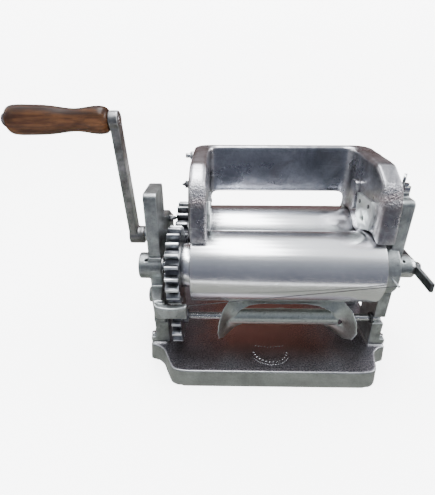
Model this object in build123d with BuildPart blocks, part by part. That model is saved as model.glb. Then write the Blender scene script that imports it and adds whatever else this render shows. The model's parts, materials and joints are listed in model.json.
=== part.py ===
from build123d import *
import os
from math import acos, cos, pi, radians, sin, tan

# Hand-cranked two-roller press that rolls dough into a sheet and cuts rounds from it.
# X runs along the rollers (crank on the -X side), -Y is the delivery side, +Z is up.
# The origin is the centre of the base's underside.  All sizes are in millimetres.

os.makedirs("parts", exist_ok=True)

# ---------------------------------------------------------------- driving dimensions
MODULE = 3.5                 # gear module of the whole train
ROLLER_TEETH = 21            # both roller gears
CUTTER_TEETH = 14            # pinion on the cutter shaft
FLANK_PLAY = 0.225           # each tooth flank is cut back by this much
PRESSURE_ANGLE = radians(20)

ROLLER_R = 36.0
ROLLER_LEN = 184.0
ROLLER_MID_X = 10.0
ROLLER_WALL = 6.0
ROLLER_END = 12.0            # thickness of a roller's end disc
AXIS_Z = 117.0
CENTRES = MODULE * ROLLER_TEETH
FRONT_Y = -CENTRES / 2
REAR_Y = CENTRES / 2
ROLLER_X0 = ROLLER_MID_X - ROLLER_LEN / 2
ROLLER_X1 = ROLLER_MID_X + ROLLER_LEN / 2

GEAR_WIDTH = 13.0
FRONT_GEAR_X = -105.0
REAR_GEAR_X = -103.0
SPACER_R = 22.5

FRAME_T = 12.3
LEFT_IN = -112.0
LEFT_OUT = LEFT_IN - FRAME_T
RIGHT_IN = 111.5
RIGHT_OUT = RIGHT_IN + FRAME_T
POST_FRONT = -46.75
POST_BACK = -6.75
LEFT_POST_TOP = 195.5
RIGHT_POST_TOP = 190.0
FOOT_Z = 23.0
REAR_FOOT_BACK = 47.0

BASE_TOP = 21.0
BASE_FRONT = -89.0
BASE_SIDE_X = 132.0
PAD_FRONT = -50.0

AXLE_R = 7.0
SHAFT_R = 8.0
RUN = 0.05                   # radial running clearance
THROW = 0.47                 # eccentricity of the thickness adjuster
THROW_ANGLE = radians(65)    # direction of the throw with the lever at rest
LEFT_JOURNAL_R = 9.5
RIGHT_JOURNAL_R = 10.5

CUTTER_ANGLE = -5.5 * 2 * pi / ROLLER_TEETH  # from the front axle to the cutter shaft
CUTTER_CENTRES = MODULE * (ROLLER_TEETH + CUTTER_TEETH) / 2
CUTTER_Y = FRONT_Y + CUTTER_CENTRES * cos(CUTTER_ANGLE)
CUTTER_Z = AXIS_Z + CUTTER_CENTRES * sin(CUTTER_ANGLE)
CUTTER_RIM_R = CUTTER_CENTRES - ROLLER_R - 0.35
CUTTER_SHAFT_R = 4.0
CUTTER_X = 16.2              # middle of the cutting ring
CUTTER_HALF = 72.4           # half the ring's length along the shaft
CUTTER_WRAP = radians(158)   # how far the ring reaches round the shaft each way
CUTTER_FACE = radians(-172)  # direction the ring faces

CRANK_R = 136.7
CRANK_LEAN = radians(10)
GRIP_Y = REAR_Y - CRANK_R * sin(CRANK_LEAN)
GRIP_Z = AXIS_Z + CRANK_R * cos(CRANK_LEAN)
GRIP_X0 = -262.2             # ends of the wooden grip
GRIP_X1 = -162.9
ARM_X0 = -162.0
ARM_X1 = -153.0

HOPPER_FRONT = -56.5
HOPPER_BACK = 53.5
HOPPER_TOP = 222.0
HOPPER_LEFT_OUT = -83.0
HOPPER_LEFT_IN = -66.0
HOPPER_RIGHT_IN = 91.0
HOPPER_RIGHT_OUT = 110.0
HOPPER_WALL = 10.0

# ---------------------------------------------------------------- helpers


def across(x, y=0.0, z=0.0):
    """A plane that faces +X, with its own x along +Y and its own y along +Z."""
    return Plane(origin=(x, y, z), x_dir=(0, 1, 0), z_dir=(1, 0, 0))


def disc(x, y, z, r):
    """A round profile on the plane that faces +X."""
    with BuildSketch(across(x, y, z)) as profile:
        Circle(r)
    return profile.sketch


def upright_disc(x, y, z, r):
    """A round profile on a horizontal plane."""
    with BuildSketch(Plane(origin=(x, y, z))) as profile:
        Circle(r)
    return profile.sketch


def hexagon(plane, flats):
    """A hexagonal profile of the given width across flats."""
    with BuildSketch(plane) as profile:
        RegularPolygon(flats / 2, 6, major_radius=False)
    return profile.sketch


def keep(builder, name):
    """Label a finished piece and write its file."""
    builder.part.label = name
    export_step(builder.part, "parts/" + name + ".step")


def side_profile(x, points):
    """A closed straight-sided profile of (Y, Z) points on the plane that faces +X."""
    with BuildSketch(across(x)) as profile:
        with BuildLine():
            Polyline(*points, close=True)
        make_face()
    return profile.sketch


def half_tooth(r, teeth):
    """Half the angle that a tooth spans at radius r."""
    pitch_r = MODULE * teeth / 2
    base_r = pitch_r * cos(PRESSURE_ANGLE)
    roll = acos(min(1.0, base_r / r))
    at_pitch = pi / (2 * teeth) - FLANK_PLAY / pitch_r
    return at_pitch + tan(PRESSURE_ANGLE) - PRESSURE_ANGLE - tan(roll) + roll


def polar(r, a):
    return (r * cos(a), r * sin(a))


def gear_profile(plane, teeth, turn):
    """The outline of a spur gear with involute flanks and one tooth centred on turn."""
    pitch_r = MODULE * teeth / 2
    base_r = pitch_r * cos(PRESSURE_ANGLE)
    tip_r = pitch_r + MODULE
    root_r = pitch_r - 1.25 * MODULE
    start_r = max(base_r, root_r) + 0.01
    step = 2 * pi / teeth
    radii = [start_r + (tip_r - start_r) * k / 4 for k in range(5)]
    foot = half_tooth(start_r, teeth)
    with BuildSketch(plane) as profile:
        with BuildLine():
            for i in range(teeth):
                a = turn + i * step
                rising = [polar(r, a - half_tooth(r, teeth)) for r in radii]
                falling = [polar(r, a + half_tooth(r, teeth)) for r in reversed(radii)]
                Line(polar(root_r, a - foot), rising[0])
                Spline(*rising)
                ThreePointArc(rising[-1], polar(tip_r, a), falling[0])
                Spline(*falling)
                Line(falling[-1], polar(root_r, a + foot))
                gap_mid = polar(root_r, a + step / 2)
                ThreePointArc(polar(root_r, a + foot), gap_mid, polar(root_r, a + step - foot))
        make_face()
    return profile.sketch


def chamfered_blank(x0, width, y, z, r, cut):
    """The section of a disc with bevelled rims, to turn about its own axis."""
    with BuildSketch(Plane(origin=(x0, y, z), x_dir=(1, 0, 0), z_dir=(0, -1, 0))) as section:
        with BuildLine():
            Polyline((0, 0), (0, r - cut), (cut, r), (width - cut, r), (width, r - cut),
                     (width, 0), close=True)
        make_face()
    return section.sketch


def x_axis_at(y, z):
    return Axis((0, y, z), (1, 0, 0))


# ---------------------------------------------------------------- base casting
BASE_LEFT_CORNER = -92.0
BASE_RIGHT_CORNER = 98.0
RIB = 10.0
POCKET_DEPTH = 12.0
POCKET_HALF_X = (BASE_SIDE_X - 24.0 - RIB / 2) / 2


def base_outline():
    """Deep middle with an S-curve at each corner running back to a side pad."""
    front = [(-BASE_SIDE_X, PAD_FRONT), (-BASE_SIDE_X + 14, PAD_FRONT - 4),
             (BASE_LEFT_CORNER - 11, BASE_FRONT + 2), (BASE_LEFT_CORNER + 6, BASE_FRONT),
             (BASE_RIGHT_CORNER - 6, BASE_FRONT), (BASE_RIGHT_CORNER + 11, BASE_FRONT + 2),
             (BASE_SIDE_X - 14, PAD_FRONT - 4), (BASE_SIDE_X, PAD_FRONT)]
    back = [(x, -y) for x, y in reversed(front)]
    radii = [3, 16, 14, 14, 14, 14, 16, 3]
    with BuildSketch() as outline:
        with BuildLine():
            FilletPolyline(*front, *back, radius=radii + radii, close=True)
        make_face()
    return outline.sketch


SCREW_XY = [(-127.5, -40.5), (-127.5, 40.5), (127.0, -40.5), (127.0, 40.5)]
SCREW_R = 1.6

with BuildPart() as base_casting:
    extrude(base_outline(), amount=BASE_TOP, taper=4)
    # Two raised side pads carry the frames.
    for side in (-1, 1):
        with BuildSketch(Plane.XY.offset(BASE_TOP)):
            with Locations((side * 120.5, 0)):
                RectangleRounded(18.0, 94.0, 3.0)
        extrude(amount=FOOT_Z - BASE_TOP)
    # Four pockets lighten the underside and leave a cross of ribs.
    with BuildSketch():
        with GridLocations(2 * POCKET_HALF_X + RIB, 75.0, 2, 2):
            RectangleRounded(2 * POCKET_HALF_X, 65.0, 8.0)
    extrude(amount=POCKET_DEPTH, mode=Mode.SUBTRACT)
    # Threaded holes for the foot screws.
    with Locations(*[Location((x, y, FOOT_Z)) for x, y in SCREW_XY]):
        Hole(SCREW_R, 14.0)
keep(base_casting, "base_casting")

# ---------------------------------------------------------------- side frames
JOURNAL_Y = FRONT_Y - THROW * cos(THROW_ANGLE)
JOURNAL_Z = AXIS_Z - THROW * sin(THROW_ANGLE)
REAR_BOSS_R = 17.0
REAR_BUSH_R = 11.0
LEFT_REAR_END = -140.0
RIGHT_REAR_END = 134.0
LEFT_BOSS_R = 13.4
LEFT_BOSS_END = -135.0
LEFT_BORE_DEPTH = 19.5
POST_LINES = (JOURNAL_Z + LEFT_BOSS_R + 1, 93.0)
CUTTER_BOSS_R = 8.0
KEEPER_Y = 23.25
KEEPER_Z = 144.6
KEEPER_R = 2.5
STAY_Y = 81.5
STAY_Z = 97.0
STAY_R = 5.0
ARCH_Y = 8.0
ARCH_Z = 51.0
ARCH_R = 19.0
FOOT_FLANGE = 6.0
GUARD_FRONT = -80.75
GUARD_T = 6.5
GUARD_Z0 = 82.0
GUARD_Z1 = 98.0
GUARD_X0 = -115.5
GUARD_X1 = -85.0
LEG_RIB = 2.5
LEG_RIB_TOP = 74.0
RIGHT_HEAD_R = 26.0
RIGHT_HEAD_X0 = 104.3
RIGHT_BOSS_R = 13.4
RIGHT_BOSS_END = 136.0
WIRE_POST_X = 111.0
WIRE_POST_Y = -74.6
WIRE_POST_R = 1.0
WIRE_POST_LENGTH = 22.0
WIRE_Z1 = 118.2
EYE_X = 119.5
EYE_LEAN = -3.0              # the ring stands this far to the side of its stem
EYE_Y = -28.75
EYE_R = 2.5


def plate_outline(x, post_top):
    """One side plate: front post, rear bearing arm, stay lug and two feet."""
    return side_profile(x, [
        (POST_FRONT, FOOT_Z), (POST_FRONT, post_top), (POST_BACK, post_top),
        (POST_BACK, 158.0), (KEEPER_Y + 6, 152.0), (REAR_Y + 14, 138.0),
        (REAR_Y + 19, 112.0), (STAY_Y + 7, 106.0), (STAY_Y + 7, 88.0),
        (REAR_Y + 18, 70.0), (REAR_FOOT_BACK, FOOT_Z)])


def foot_arch(x):
    """The opening between the front and the rear foot."""
    with BuildSketch(across(x)) as opening:
        with Locations((ARCH_Y, ARCH_Z)):
            Circle(ARCH_R)
        with Locations((ARCH_Y, (ARCH_Z + FOOT_Z) / 2)):
            Rectangle(2 * ARCH_R, ARCH_Z - FOOT_Z + 0.2)
    return opening.sketch


def foot_flanges(x_out, x_in):
    """Pads at the front and the rear foot that stand out past the plate."""
    with BuildSketch(Plane.XY.offset(FOOT_Z)) as pads:
        with Locations(((x_out + x_in) / 2, -40.5), ((x_out + x_in) / 2, 40.5)):
            Rectangle(abs(x_in - x_out), 12.0)
    return pads.sketch


def wire_post_disc():
    """The round profile of the peeling wire's post, at its front end."""
    with BuildSketch(Plane(origin=(WIRE_POST_X, WIRE_POST_Y - 1.5, WIRE_Z1),
                           x_dir=(1, 0, 0), z_dir=(0, 1, 0))) as profile:
        Circle(WIRE_POST_R)
    return profile.sketch


with BuildPart() as left_frame:
    extrude(plate_outline(LEFT_OUT, LEFT_POST_TOP), amount=FRAME_T)
    post_top_edges = left_frame.edges().filter_by(Axis.X).group_by(Axis.Z)[-1]
    fillet(post_top_edges, 5.0)
    extrude(foot_arch(LEFT_OUT), amount=FRAME_T, mode=Mode.SUBTRACT)
    extrude(foot_flanges(LEFT_OUT - FOOT_FLANGE, LEFT_OUT + 1), amount=6.0)
    with BuildSketch(Plane.XY.offset(FOOT_Z)):
        with Locations((LEFT_IN, POST_FRONT)):
            Rectangle(LEG_RIB, 30.0, align=(Align.MIN, Align.MIN))
    extrude(amount=LEG_RIB_TOP - FOOT_Z)
    # Bosses: closed for the front axle, open for the crank shaft and the cutter shaft.
    extrude(disc(LEFT_BOSS_END, JOURNAL_Y, JOURNAL_Z, LEFT_BOSS_R),
            amount=LEFT_IN - LEFT_BOSS_END)
    extrude(disc(LEFT_REAR_END, REAR_Y, AXIS_Z, REAR_BOSS_R), amount=LEFT_IN - LEFT_REAR_END)
    extrude(disc(LEFT_OUT, CUTTER_Y, CUTTER_Z, CUTTER_BOSS_R), amount=FRAME_T)
    extrude(disc(LEFT_OUT - 3, POST_FRONT + 5.0, 84.0, 8.0), amount=FRAME_T + 3)
    # Gear guard: an arm that runs forward beside the gears to a dished wall before them.
    with BuildSketch(Plane.XY.offset(GUARD_Z0)):
        with BuildLine():
            FilletPolyline(
                (LEFT_OUT, POST_FRONT + 2), (LEFT_OUT, POST_FRONT - 3), (GUARD_X0, GUARD_FRONT),
                (GUARD_X1, GUARD_FRONT), (GUARD_X1, GUARD_FRONT + GUARD_T),
                (GUARD_X0 + 6, GUARD_FRONT + GUARD_T), (LEFT_IN, POST_FRONT - 4),
                (LEFT_IN, POST_FRONT + 2),
                radius=[0.5, 6, 6, 2, 2, 5, 4, 0.5], close=True)
        make_face()
    extrude(amount=GUARD_Z1 - GUARD_Z0)
    with BuildSketch(Plane.XZ.offset(-GUARD_FRONT + 1)):
        with Locations((-100.5, GUARD_Z1 + 38.0)):
            Circle(42.0)
    extrude(amount=-GUARD_T - 2, mode=Mode.SUBTRACT)
    # Cast joint lines across the post's front, above and below the front boss.
    with Locations(*[(LEFT_OUT + FRAME_T / 2, POST_FRONT, z) for z in POST_LINES]):
        Box(FRAME_T + 2, 5.0, 2.4, mode=Mode.SUBTRACT)
    # Bores: blind for the axle's journal, through for the rest.
    extrude(disc(LEFT_IN, JOURNAL_Y, JOURNAL_Z, LEFT_JOURNAL_R + RUN),
            amount=-LEFT_BORE_DEPTH, mode=Mode.SUBTRACT)
    extrude(disc(LEFT_REAR_END - 1, REAR_Y, AXIS_Z, REAR_BUSH_R), amount=40,
            mode=Mode.SUBTRACT)
    extrude(disc(LEFT_OUT - 1, CUTTER_Y, CUTTER_Z, CUTTER_SHAFT_R + RUN), amount=20,
            mode=Mode.SUBTRACT)
    extrude(disc(LEFT_OUT - 1, KEEPER_Y, KEEPER_Z, KEEPER_R), amount=20, mode=Mode.SUBTRACT)
    extrude(disc(LEFT_OUT - 1, STAY_Y, STAY_Z, STAY_R), amount=20, mode=Mode.SUBTRACT)
    with Locations(*[Location((x, y, FOOT_Z + 6)) for x, y in SCREW_XY[:2]]):
        Hole(SCREW_R, 6.0)
    # Oil hole in the front boss.
    with BuildSketch(Plane(origin=(-127.0, JOURNAL_Y, JOURNAL_Z), z_dir=(0, -0.8, 1))):
        Circle(1.5)
    extrude(amount=20, mode=Mode.SUBTRACT)
keep(left_frame, "left_frame")

with BuildPart() as right_frame:
    extrude(plate_outline(RIGHT_IN, RIGHT_POST_TOP), amount=FRAME_T)
    post_top_edges = right_frame.edges().filter_by(Axis.X).group_by(Axis.Z)[-1]
    fillet(post_top_edges, 5.0)
    extrude(upright_disc(EYE_X - 1, EYE_Y, RIGHT_POST_TOP - 1, 5.5), amount=5.5)
    extrude(foot_arch(RIGHT_IN), amount=FRAME_T, mode=Mode.SUBTRACT)
    extrude(foot_flanges(RIGHT_OUT - 1, RIGHT_OUT + FOOT_FLANGE), amount=6.0)
    # Head and boss round the axle's outer journal, and the crank shaft's boss.
    extrude(disc(RIGHT_HEAD_X0, JOURNAL_Y, JOURNAL_Z, RIGHT_HEAD_R),
            amount=RIGHT_IN + 7.0 - RIGHT_HEAD_X0)
    extrude(disc(RIGHT_IN, JOURNAL_Y, JOURNAL_Z, RIGHT_BOSS_R),
            amount=RIGHT_BOSS_END - RIGHT_IN)
    extrude(disc(RIGHT_IN, REAR_Y, AXIS_Z, REAR_BOSS_R), amount=RIGHT_REAR_END - RIGHT_IN)
    # Open-fronted notch that the cutter shaft drops into.
    with BuildSketch(across(RIGHT_IN - 1)):
        with Locations((CUTTER_Y, CUTTER_Z)):
            Circle(CUTTER_SHAFT_R + RUN)
            Rectangle(30.0, 2 * (CUTTER_SHAFT_R + RUN), align=(Align.MAX, Align.CENTER))
    extrude(amount=FRAME_T + 2, mode=Mode.SUBTRACT)
    # Bores, and the lower half of the front boss cut away to a saddle.
    extrude(disc(RIGHT_HEAD_X0 - 1, JOURNAL_Y, JOURNAL_Z, RIGHT_JOURNAL_R + RUN), amount=40,
            mode=Mode.SUBTRACT)
    with BuildSketch(across(RIGHT_OUT + 0.5)):
        with Locations((JOURNAL_Y, JOURNAL_Z)):
            Rectangle(40.0, 20.0, align=(Align.CENTER, Align.MAX))
    extrude(amount=20.0, mode=Mode.SUBTRACT)
    extrude(disc(RIGHT_IN - 1, REAR_Y, AXIS_Z, REAR_BUSH_R), amount=40, mode=Mode.SUBTRACT)
    extrude(disc(RIGHT_IN - 1, STAY_Y, STAY_Z, STAY_R), amount=20, mode=Mode.SUBTRACT)
    extrude(upright_disc(EYE_X, EYE_Y, 160.0, EYE_R + RUN), amount=40, mode=Mode.SUBTRACT)
    with Locations(*[Location((x, y, FOOT_Z + 6)) for x, y in SCREW_XY[2:]]):
        Hole(SCREW_R, 6.0)
    # Oil hole in the saddle, and the hole of the peeling wire's post.
    with BuildSketch(Plane(origin=(128.0, JOURNAL_Y, JOURNAL_Z), z_dir=(0, -0.7, 1))):
        Circle(1.5)
    extrude(amount=20, mode=Mode.SUBTRACT)
    extrude(wire_post_disc(), amount=WIRE_POST_LENGTH, mode=Mode.SUBTRACT)
keep(right_frame, "right_frame")

with BuildPart() as foot_screws:
    for x, y in SCREW_XY:
        extrude(upright_disc(x, y, FOOT_Z - 10, SCREW_R), amount=17.0)
        extrude(upright_disc(x, y, FOOT_Z + 6, 2.8), amount=2.5)
keep(foot_screws, "foot_screws")

for name, x0, x1 in (("left_bush", LEFT_REAR_END, LEFT_IN), ("right_bush", RIGHT_IN, RIGHT_REAR_END)):
    with BuildPart() as bush:
        extrude(disc(x0, REAR_Y, AXIS_Z, REAR_BUSH_R), amount=x1 - x0)
        extrude(disc(x0, REAR_Y, AXIS_Z, SHAFT_R + RUN), amount=x1 - x0, mode=Mode.SUBTRACT)
    keep(bush, name)

with BuildPart() as rear_stay:
    extrude(disc(LEFT_OUT, STAY_Y, STAY_Z, STAY_R), amount=RIGHT_OUT - LEFT_OUT)
keep(rear_stay, "rear_stay")

# Pointed screw and lock nut beside the rear gear.
with BuildPart() as keeper_screw:
    extrude(disc(LEFT_OUT - 6, KEEPER_Y, KEEPER_Z, KEEPER_R), amount=-LEFT_OUT + 6 - 106.0)
    with BuildSketch(across(-106.0, KEEPER_Y, KEEPER_Z)):
        Circle(KEEPER_R)
    extrude(amount=3.0, taper=35)
keep(keeper_screw, "keeper_screw")

with BuildPart() as keeper_nut:
    extrude(hexagon(across(LEFT_IN, KEEPER_Y, KEEPER_Z), 8.0), amount=4.0)
    extrude(disc(LEFT_IN, KEEPER_Y, KEEPER_Z, KEEPER_R), amount=4.0, mode=Mode.SUBTRACT)
keep(keeper_nut, "keeper_nut")

# Ringed lock screw in the top of the right post, with its nut.
EYE_NUT_Z = RIGHT_POST_TOP + 4.5
EYE_ACROSS = (cos(radians(62)), sin(radians(62)), 0)
EYE_FACE = (sin(radians(62)), -cos(radians(62)), 0)
with BuildPart() as eye_screw:
    extrude(upright_disc(EYE_X, EYE_Y, 165.0, EYE_R), amount=37.0)
    with BuildSketch(Plane(origin=(EYE_X + EYE_LEAN, EYE_Y, 205.4), x_dir=EYE_ACROSS,
                           z_dir=EYE_FACE)):
        Ellipse(4.6, 5.5)
        with Locations((0, 0.8)):
            Circle(2.7, mode=Mode.SUBTRACT)
    extrude(amount=1.4, both=True)
keep(eye_screw, "eye_screw")

with BuildPart() as eye_nut:
    extrude(hexagon(Plane(origin=(EYE_X, EYE_Y, EYE_NUT_Z)), 9.0), amount=4.5)
    extrude(upright_disc(EYE_X, EYE_Y, EYE_NUT_Z, EYE_R + RUN), amount=4.5,
            mode=Mode.SUBTRACT)
keep(eye_nut, "eye_nut")

# ---------------------------------------------------------------- hopper
ROLLER_GAP = 0.6             # between the rollers and the hopper above them
OPENING_TOP = 169.4

with BuildPart() as hopper:
    with BuildSketch(Plane.XY.offset(138.0)):
        with BuildLine():
            FilletPolyline(
                (HOPPER_LEFT_OUT, HOPPER_FRONT - 5), (HOPPER_LEFT_OUT, HOPPER_BACK),
                (HOPPER_RIGHT_OUT, HOPPER_BACK), (HOPPER_RIGHT_OUT, HOPPER_FRONT - 5),
                (HOPPER_RIGHT_IN, HOPPER_FRONT - 5),
                (HOPPER_RIGHT_IN, HOPPER_BACK - HOPPER_WALL),
                (HOPPER_LEFT_IN, HOPPER_BACK - HOPPER_WALL),
                (HOPPER_LEFT_IN, HOPPER_FRONT - 5),
                radius=[0.5, 14, 17, 0.5, 0.5, 11, 8, 0.5], close=True)
        make_face()
    extrude(amount=HOPPER_TOP - 138.0)
    with BuildSketch(across(HOPPER_LEFT_OUT - 1)):
        with BuildLine():
            FilletPolyline(
                (HOPPER_BACK, HOPPER_TOP), (-22.0, 218.5), (-46.5, 204.5),
                (HOPPER_FRONT + 2.5, 186.0), (HOPPER_FRONT, 148.8), (-8.0, 140.0),
                (8.0, 140.0), (HOPPER_BACK, 152.0),
                radius=[2, 12, 12, 30, 0.8, 2, 2, 2], close=True)
        make_face()
    extrude(amount=HOPPER_RIGHT_OUT - HOPPER_LEFT_OUT + 2, mode=Mode.INTERSECT)
    for y in (FRONT_Y, REAR_Y):
        extrude(disc(HOPPER_LEFT_OUT - 1, y, AXIS_Z, ROLLER_R + ROLLER_GAP), amount=200,
                mode=Mode.SUBTRACT)
    with BuildSketch(Plane.XZ.offset(-HOPPER_BACK - 1)):
        with Locations(((HOPPER_LEFT_IN + HOPPER_RIGHT_IN) / 2, OPENING_TOP)):
            Rectangle(HOPPER_RIGHT_IN - HOPPER_LEFT_IN, 34.0, align=(Align.CENTER, Align.MAX))
        fillet(vertices().group_by(Axis.Z)[-1], 7.0)
    extrude(amount=HOPPER_WALL + 2, mode=Mode.SUBTRACT)
keep(hopper, "hopper")

CHEEK = [(2.25, 183.0), (-34.75, 185.0), (-41.75, 174.5), (-39.4, 158.5), (-15.75, 150.5),
         (-2.75, 160.0)]
CHEEK_T = 3.0
CHEEK_SCREWS = [(-30.0, 179.0), (-8.0, 177.0)]
for name, x0 in (("left_cheek", HOPPER_LEFT_IN), ("right_cheek", HOPPER_RIGHT_IN - CHEEK_T)):
    with BuildPart() as cheek:
        extrude(side_profile(x0, CHEEK), amount=CHEEK_T)
        extrude(disc(x0, -21.75, 164.0, 2.6), amount=CHEEK_T, mode=Mode.SUBTRACT)
    keep(cheek, name)

with BuildPart() as cheek_screws:
    for y, z in CHEEK_SCREWS:
        extrude(disc(HOPPER_LEFT_IN + CHEEK_T, y, z, 2.2), amount=0.8)
        extrude(disc(HOPPER_RIGHT_IN - CHEEK_T, y, z, 2.2), amount=-0.8)
keep(cheek_screws, "cheek_screws")

# Cast bracket on the right wall's inner face, behind the cheek plate.
with BuildPart() as hopper_bracket:
    with BuildSketch(across(HOPPER_RIGHT_IN - 5.0)):
        with Locations((12.0, 178.0)):
            RectangleRounded(14.0, 30.0, 3.0)
    extrude(amount=5.0)
keep(hopper_bracket, "hopper_bracket")

# Straps that carry the hopper from the rear stay.
STRAP = [(HOPPER_BACK, 209.0), (62.0, 209.0), (62.0, 170.0), (90.0, 118.0), (90.0, 90.0),
         (74.5, 90.0), (77.5, 118.0), (60.5, 160.0), (HOPPER_BACK, 160.0)]
STRAP_T = 9.0
for name, x0 in (("left_strap", HOPPER_LEFT_OUT + 2.0), ("right_strap", HOPPER_RIGHT_OUT - 11.0)):
    with BuildPart() as strap:
        extrude(side_profile(x0, STRAP), amount=STRAP_T)
        extrude(disc(x0, STAY_Y, STAY_Z, STAY_R), amount=STRAP_T, mode=Mode.SUBTRACT)
    keep(strap, name)

with BuildPart() as strap_screws:
    for x in (HOPPER_LEFT_OUT + 6.5, HOPPER_RIGHT_OUT - 6.5):
        for z in (180.0, 200.0):
            with BuildSketch(Plane(origin=(x, 62.0, z), x_dir=(1, 0, 0), z_dir=(0, 1, 0))):
                RegularPolygon(3.5, 6, major_radius=False)
            extrude(amount=3.5)
keep(strap_screws, "strap_screws")

# Hardware on the hopper's left wall: a stud with its nut, and a pointed bolt.
with BuildPart() as hopper_stud:
    extrude(disc(HOPPER_LEFT_OUT, 38.0, 212.0, 2.5), amount=-9.0)
keep(hopper_stud, "hopper_stud")

with BuildPart() as hopper_nut:
    extrude(hexagon(across(HOPPER_LEFT_OUT, 38.0, 212.0), 8.0), amount=-4.0)
    extrude(disc(HOPPER_LEFT_OUT, 38.0, 212.0, 2.5), amount=-4.0, mode=Mode.SUBTRACT)
keep(hopper_nut, "hopper_nut")

with BuildPart() as hopper_bolt:
    extrude(hexagon(across(HOPPER_LEFT_OUT, -32.5, 201.0), 6.0), amount=-3.0)
    with BuildSketch(across(HOPPER_LEFT_OUT - 3.0, -32.5, 201.0)):
        Circle(1.9)
    extrude(amount=-3.0, taper=25)
keep(hopper_bolt, "hopper_bolt")

# ---------------------------------------------------------------- rollers and gears
BOLT_CIRCLE_R = 12.5
BOLT_R = 2.5
BOLT_HEAD = 4.5
HUB_BORE_R = 9.0
AXLE_PLAY = 0.1
ROLLER_BORE_R = AXLE_R + AXLE_PLAY


def bolt_spots(y):
    """The centres of the six gear bolts on the plane that faces +X."""
    spots = [polar(BOLT_CIRCLE_R, k * pi / 3 + pi / 6) for k in range(6)]
    return [(y + dy, AXIS_Z + dz) for dy, dz in spots]


def bolt_holes(x, y, length):
    """Cut the six bolt holes into the part being built."""
    for by, bz in bolt_spots(y):
        extrude(disc(x, by, bz, BOLT_R), amount=length, mode=Mode.SUBTRACT)


for side, y, bore_r, hub_r, gear_x in (
        ("front", FRONT_Y, ROLLER_BORE_R, HUB_BORE_R, FRONT_GEAR_X),
        ("rear", REAR_Y, SHAFT_R, SHAFT_R, REAR_GEAR_X)):
    with BuildPart() as tube:
        section = chamfered_blank(ROLLER_X0, ROLLER_LEN, y, AXIS_Z, ROLLER_R, 0.8)
        revolve(section, axis=x_axis_at(y, AXIS_Z))
        extrude(disc(ROLLER_X0, y, AXIS_Z, ROLLER_R - ROLLER_WALL), amount=ROLLER_LEN,
                mode=Mode.SUBTRACT)
    keep(tube, side + "_roller")
    with BuildPart() as left_end:
        extrude(disc(ROLLER_X0, y, AXIS_Z, ROLLER_R - ROLLER_WALL), amount=ROLLER_END)
        extrude(disc(ROLLER_X0, y, AXIS_Z, bore_r), amount=ROLLER_END, mode=Mode.SUBTRACT)
        bolt_holes(ROLLER_X0, y, ROLLER_END)
    keep(left_end, side + "_roller_left_end")
    with BuildPart() as right_end:
        extrude(disc(ROLLER_X1, y, AXIS_Z, ROLLER_R - ROLLER_WALL), amount=-ROLLER_END)
        extrude(disc(ROLLER_X1, y, AXIS_Z, bore_r), amount=-ROLLER_END, mode=Mode.SUBTRACT)
    keep(right_end, side + "_roller_right_end")
    with BuildPart() as spacer:
        extrude(disc(gear_x + GEAR_WIDTH, y, AXIS_Z, SPACER_R),
                amount=ROLLER_X0 - gear_x - GEAR_WIDTH)
        extrude(disc(gear_x, y, AXIS_Z, hub_r), amount=40, mode=Mode.SUBTRACT)
        bolt_holes(gear_x, y, 40)
    keep(spacer, side + "_spacer")
    with BuildPart() as gear:
        extrude(gear_profile(across(gear_x, y, AXIS_Z), ROLLER_TEETH, 0), amount=GEAR_WIDTH)
        blank = chamfered_blank(gear_x, GEAR_WIDTH, y, AXIS_Z, CENTRES / 2 + MODULE + 0.05, 0.8)
        revolve(blank, axis=x_axis_at(y, AXIS_Z), mode=Mode.INTERSECT)
        extrude(disc(gear_x, y, AXIS_Z, hub_r), amount=GEAR_WIDTH, mode=Mode.SUBTRACT)
        bolt_holes(gear_x, y, GEAR_WIDTH)
    keep(gear, side + "_gear")
    with BuildPart() as bolts:
        for by, bz in bolt_spots(y):
            extrude(disc(gear_x, by, bz, BOLT_R), amount=ROLLER_X0 + ROLLER_END - 1 - gear_x)
            extrude(hexagon(across(gear_x, by, bz), 8.0), amount=-BOLT_HEAD)
    keep(bolts, side + "_gear_bolts")

# Fixed front axle: two journals in the frames and a middle set off-centre between them.
AXLE_LEFT = LEFT_IN - LEFT_BORE_DEPTH + 0.5
JOURNAL_SHOULDER = LEFT_IN + 1.5
AXLE_RIGHT = 140.5
with BuildPart() as front_axle:
    extrude(disc(AXLE_LEFT, JOURNAL_Y, JOURNAL_Z, LEFT_JOURNAL_R),
            amount=JOURNAL_SHOULDER - AXLE_LEFT)
    extrude(disc(JOURNAL_SHOULDER - 1, FRONT_Y, AXIS_Z, AXLE_R), amount=106 - JOURNAL_SHOULDER)
    extrude(disc(104.5, JOURNAL_Y, JOURNAL_Z, RIGHT_JOURNAL_R), amount=AXLE_RIGHT - 104.5)
    extrude(disc(AXLE_RIGHT - 1, JOURNAL_Y, JOURNAL_Z, 5.0), amount=5.5)
keep(front_axle, "front_axle")

with BuildPart() as thrust_washer:
    extrude(disc(ROLLER_X1 + 0.4, FRONT_Y, AXIS_Z, 14.0), amount=1.6)
    extrude(disc(ROLLER_X1 + 0.4, FRONT_Y, AXIS_Z, ROLLER_BORE_R), amount=1.6,
            mode=Mode.SUBTRACT)
keep(thrust_washer, "thrust_washer")

# ---------------------------------------------------------------- thickness lever
LEVER_X0 = AXLE_RIGHT + 0.2
LEVER_T = 3.5
LEVER = [(-10.75, 124.5), (-74.75, 120.5), (-75.25, 111.7), (-10.75, 115.5)]
with BuildPart() as thickness_lever:
    extrude(side_profile(LEVER_X0, LEVER), amount=LEVER_T)
    extrude(disc(LEVER_X0, JOURNAL_Y, JOURNAL_Z, 7.0), amount=LEVER_T)
    extrude(disc(LEVER_X0, JOURNAL_Y, JOURNAL_Z, 5.0), amount=LEVER_T, mode=Mode.SUBTRACT)
keep(thickness_lever, "thickness_lever")

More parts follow.
